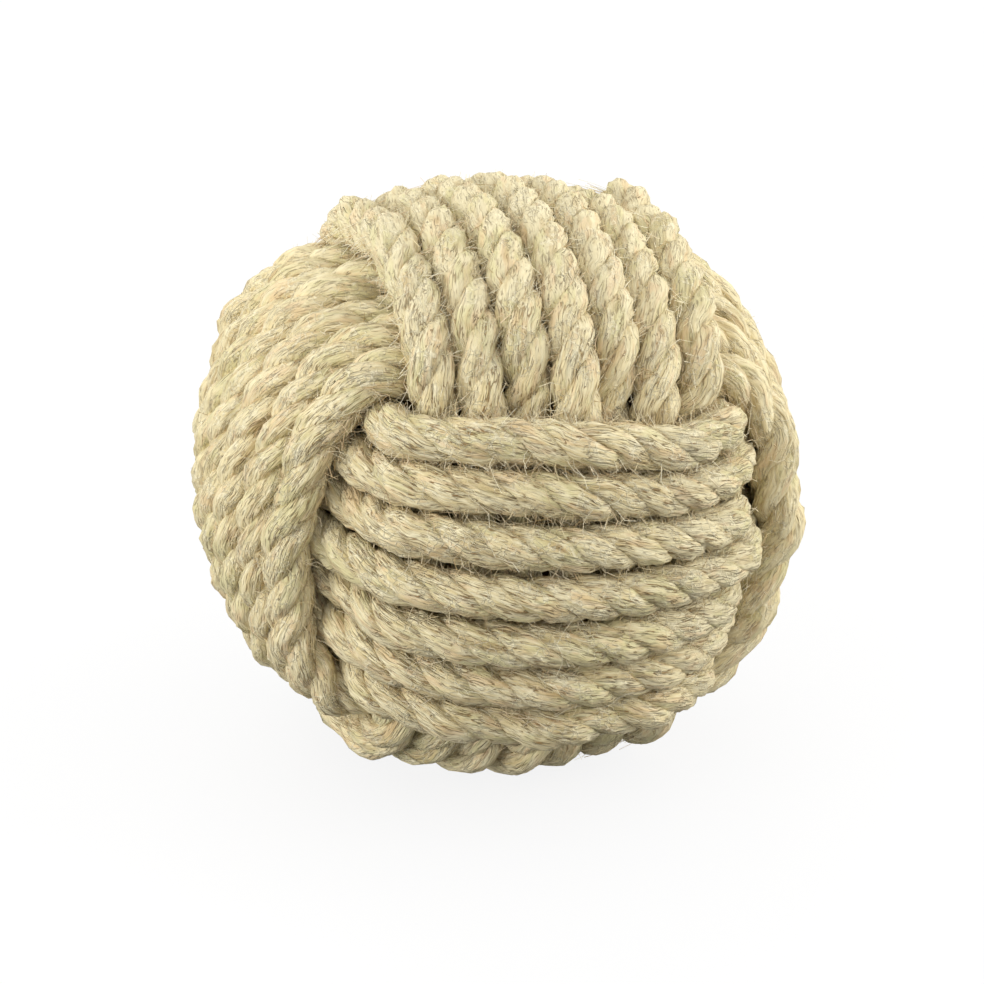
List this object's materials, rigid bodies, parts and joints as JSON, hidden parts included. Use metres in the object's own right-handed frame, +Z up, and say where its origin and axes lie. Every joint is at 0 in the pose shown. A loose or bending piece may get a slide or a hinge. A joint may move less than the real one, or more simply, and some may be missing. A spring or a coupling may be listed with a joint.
{
  "type": "rope ball",
  "caption": "Monkey's fist ball: one laid jute rope worked in crossing bands round a hidden wooden ball, its bound ends tucked inside.",
  "frame": {"origin": "middle of the ball's bounding box at the height of the flat that it stands on", "axes": "+Z up, out of the band of seven turns that passes over the top; -Y is the front, where the turns run across"},
  "size_m": [0.1256, 0.1264, 0.1241],
  "materials": {
    "jute_rope": "pale straw jute, dry and hairy",
    "core_wood": "plain turned wood",
    "whipping_twine": "tarred twine, matt"
  },
  "bodies": {
    "root": {"rope": "jute_rope", "core_ball": "core_wood", "whipping_start": "whipping_twine", "whipping_finish": "whipping_twine"}
  },
  "joints": []
}
